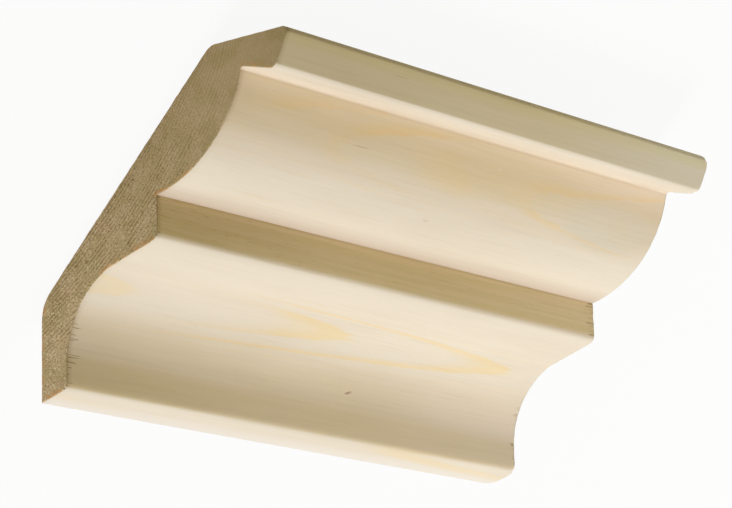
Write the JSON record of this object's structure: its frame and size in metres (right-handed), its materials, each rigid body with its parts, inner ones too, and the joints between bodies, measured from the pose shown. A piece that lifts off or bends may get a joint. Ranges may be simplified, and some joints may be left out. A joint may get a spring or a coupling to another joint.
{
  "type": "ceiling moulding",
  "caption": "Short length of solid pine crown moulding, with a cove, a fillet, an ovolo and a square lip, for the corner between wall and ceiling.",
  "frame": {"origin": "on the flat back, at the middle of the overall length and width", "axes": "+X along the length, +Y across from the wall edge to the ceiling edge, +Z from the back to the moulded face"},
  "size_m": [0.15, 0.0928, 0.018],
  "materials": {
    "pine": "raw planed"
  },
  "bodies": {
    "root": {"crown_moulding": "pine"}
  },
  "joints": []
}
